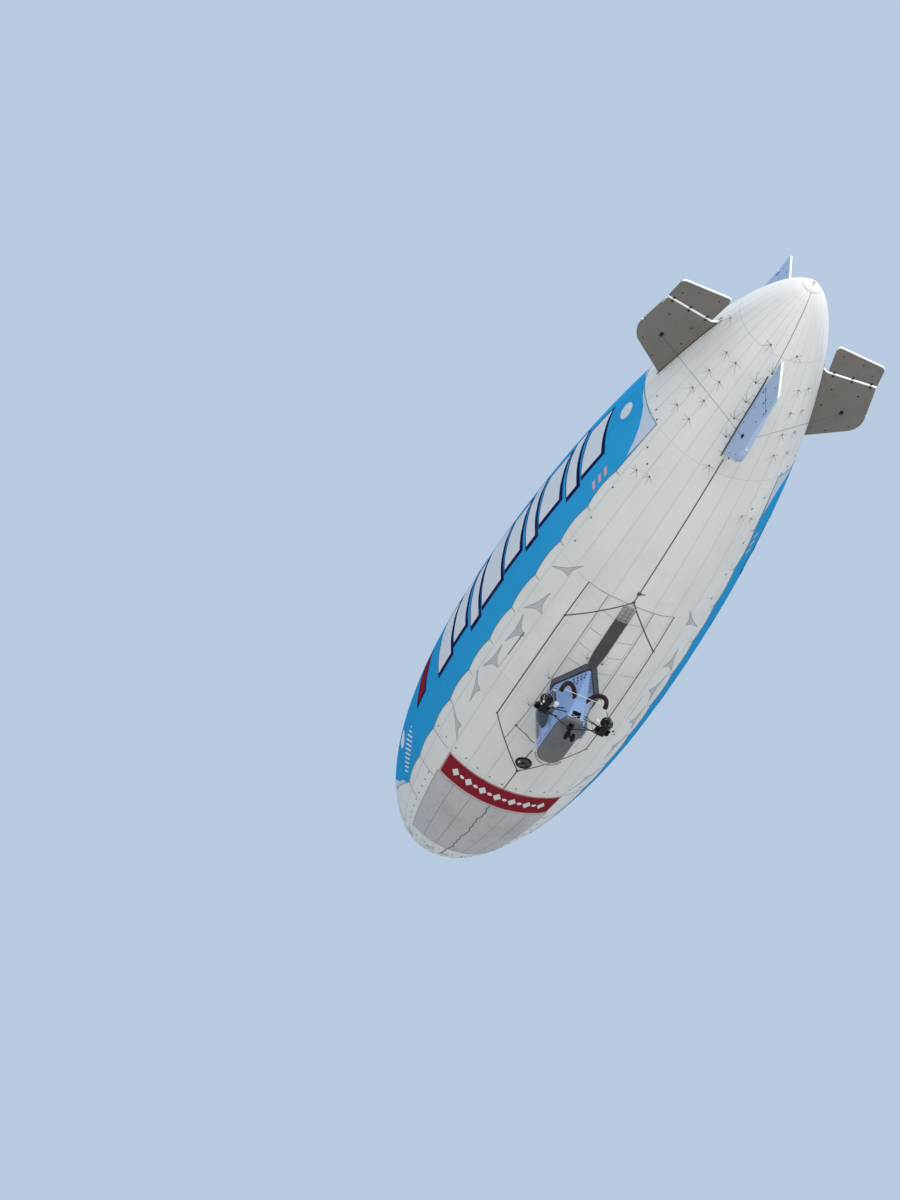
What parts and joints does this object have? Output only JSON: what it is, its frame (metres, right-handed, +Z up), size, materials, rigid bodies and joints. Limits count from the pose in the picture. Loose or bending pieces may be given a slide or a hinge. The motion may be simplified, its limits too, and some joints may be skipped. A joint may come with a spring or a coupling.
{
  "type": "advertising blimp",
  "caption": "Non-rigid airship: gas envelope with plus tail, hinged rudders and elevators, hollow gondola with doors, pusher engines on outriggers, cloth banners and castering gear.",
  "frame": {"origin": "on the envelope's long axis, 17.55 m behind its nose, above the gondola and 0.4 m ahead of its centre of volume", "axes": "+X towards the nose, +Y to port, +Z up"},
  "size_m": [39.39, 10.265, 13.1925],
  "materials": {
    "hull_cloth": "satin coated cloth",
    "fin_cloth": "doped cloth",
    "teal_cloth": "printed cloth",
    "red_cloth": "printed cloth",
    "grey_cloth": "plain cloth",
    "duct_cloth": "matt coated cloth",
    "shell_paint": "gloss painted composite",
    "pan_paint": "satin painted composite",
    "hose_rubber": "ribbed hose",
    "engine_metal": "black cast metal",
    "black_metal": "satin black",
    "tube_steel": "satin",
    "white_metal": "satin white",
    "prop_wood": "varnished, banded tips",
    "tyre_rubber": "matt",
    "window_glass": "tinted acrylic",
    "seat_cloth": "woven upholstery"
  },
  "bodies": {
    "hull": {"envelope": "hull_cloth", "nose_cone": "white_metal", "tail_cap": "white_metal", "fin_port": "fin_cloth", "fin_top": "fin_cloth", "fin_starboard": "fin_cloth", "fin_bottom": "fin_cloth", "brace_top_port": "tube_steel", "brace_top_starboard": "tube_steel", "brace_bottom_starboard": "tube_steel", "brace_bottom_port": "tube_steel", "side_banner_port": "teal_cloth", "side_banner_starboard": "teal_cloth", "belly_banner": "red_cloth", "nose_panel": "grey_cloth", "air_valve": "black_metal", "gondola_floor": "pan_paint", "gondola_roof": "shell_paint", "gondola_bow": "shell_paint", "windscreen": "window_glass", "rear_fairing": "shell_paint", "gondola_skirt": "duct_cloth", "belly_duct": "duct_cloth", "seat_front_port": "seat_cloth", "seat_front_starboard": "seat_cloth", "seat_bench": "seat_cloth", "instrument_console": "black_metal", "handrail_bow": "tube_steel", "gondola_side_port": "shell_paint", "gondola_side_starboard": "shell_paint", "rear_window_port": "window_glass", "rear_window_starboard": "window_glass", "handrail_port": "tube_steel", "handrail_starboard": "tube_steel", "engine_port": "engine_metal", "engine_starboard": "engine_metal", "cowl_drum_port": "black_metal", "cowl_drum_starboard": "black_metal", "outrigger_port": "tube_steel", "outrigger_starboard": "tube_steel", "air_scoop_port": "hose_rubber", "air_scoop_starboard": "hose_rubber", "scoop_crossbar": "white_metal", "gear_leg": "tube_steel"},
    "propeller_port": {"propeller_port": "prop_wood"},
    "propeller_starboard": {"propeller_starboard": "prop_wood"},
    "elevator_port": {"elevator_port": "fin_cloth"},
    "elevator_starboard": {"elevator_starboard": "fin_cloth"},
    "rudder_top": {"rudder_top": "fin_cloth"},
    "rudder_bottom": {"rudder_bottom": "fin_cloth"},
    "door_port": {"door_port": "shell_paint", "door_window_port": "window_glass"},
    "door_starboard": {"door_starboard": "shell_paint", "door_window_starboard": "window_glass"},
    "caster": {"caster_fork": "white_metal"},
    "wheels": {"wheel_axle": "tube_steel", "tyre_port": "tyre_rubber", "tyre_starboard": "tyre_rubber"}
  },
  "joints": [
    {"name": "propeller_port_spin", "type": "hinge", "parent": "hull", "child": "propeller_port", "pos_m": [-1.29, 1.43, -6.76], "axis": [1, 0, 0], "continuous": true},
    {"name": "propeller_starboard_spin", "type": "hinge", "parent": "hull", "child": "propeller_starboard", "pos_m": [-1.29, -1.43, -6.76], "axis": [1, 0, 0], "continuous": true},
    {"name": "elevator_port_tilt", "type": "hinge", "parent": "hull", "child": "elevator_port", "pos_m": [-17.95, 3.69, 0], "axis": [-0.1334, 0.9911, 0], "range_deg": [-30, 30]},
    {"name": "elevator_starboard_tilt", "type": "hinge", "parent": "hull", "child": "elevator_starboard", "pos_m": [-17.95, -3.69, 0], "axis": [-0.1334, -0.9911, 0], "range_deg": [-30, 30]},
    {"name": "rudder_top_swing", "type": "hinge", "parent": "hull", "child": "rudder_top", "pos_m": [-17.95, 0, 3.69], "axis": [-0.1334, 0, 0.9911], "range_deg": [-30, 30]},
    {"name": "rudder_bottom_swing", "type": "hinge", "parent": "hull", "child": "rudder_bottom", "pos_m": [-17.95, 0, -3.69], "axis": [-0.1334, 0, -0.9911], "range_deg": [-30, 30]},
    {"name": "door_port_hinge", "type": "hinge", "parent": "hull", "child": "door_port", "pos_m": [1.257, 0.76322, -6.21687], "axis": [0, -0.1724, -0.985], "range_deg": [0, 75]},
    {"name": "door_starboard_hinge", "type": "hinge", "parent": "hull", "child": "door_starboard", "pos_m": [1.257, -0.76322, -6.21687], "axis": [0, -0.1724, 0.985], "range_deg": [0, 75]},
    {"name": "caster_swivel", "type": "hinge", "parent": "hull", "child": "caster", "pos_m": [-0.5, 0, -7.6], "axis": [0, 0, 1], "continuous": true},
    {"name": "wheels_spin", "type": "hinge", "parent": "caster", "child": "wheels", "pos_m": [-0.58, 0, -7.87], "axis": [0, 1, 0], "continuous": true}
  ],
  "couplings": [
    {"joint": "elevator_starboard_tilt", "follows": "elevator_port_tilt", "ratio": -1},
    {"joint": "rudder_bottom_swing", "follows": "rudder_top_swing", "ratio": -1}
  ]
}
